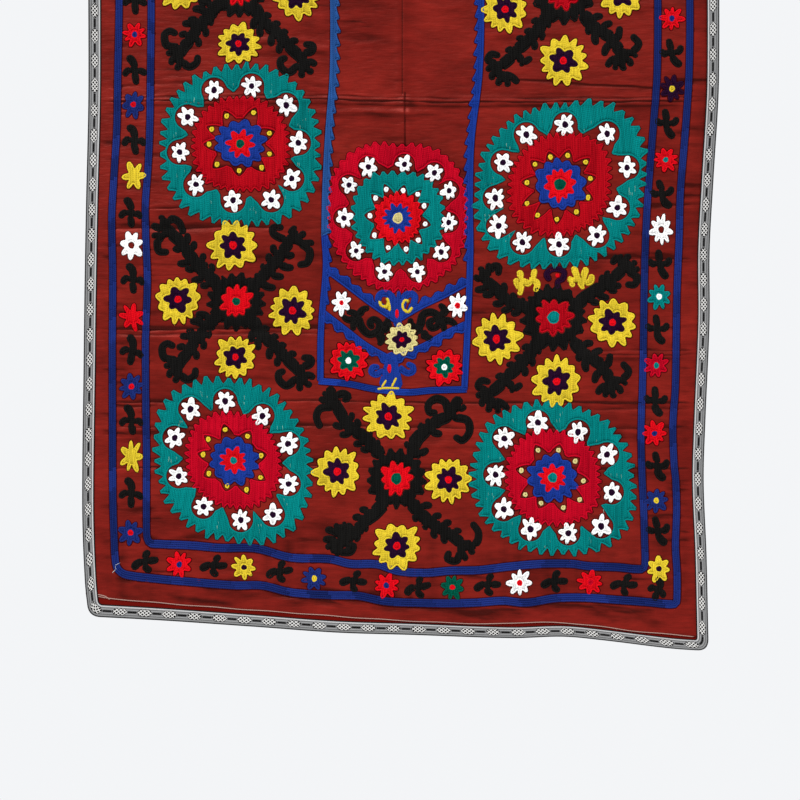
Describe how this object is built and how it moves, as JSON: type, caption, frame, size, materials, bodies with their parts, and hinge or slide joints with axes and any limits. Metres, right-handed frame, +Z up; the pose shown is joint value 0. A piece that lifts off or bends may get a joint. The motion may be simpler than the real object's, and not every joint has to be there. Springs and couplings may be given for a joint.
{
  "type": "embroidered wall hanging",
  "caption": "Hanging satin cloth embroidered with rosettes, flowered crosses, vines and a niche, edged all round with a woven band",
  "frame": {"origin": "middle of the top edge, on the flat in which the front of the cloth hangs there", "axes": "+Z up along the hanging, +X to the right as seen from the front, the embroidered front faces -Y"},
  "size_m": [1.4637, 0.0254, 2.2216],
  "materials": {
    "satin": "satin",
    "strip": "matte",
    "band": "matte",
    "thread": "satin"
  },
  "bodies": {
    "root": {"ground_cloth": "satin", "backing_strip": "strip", "edging_band": "band"}
  },
  "joints": []
}
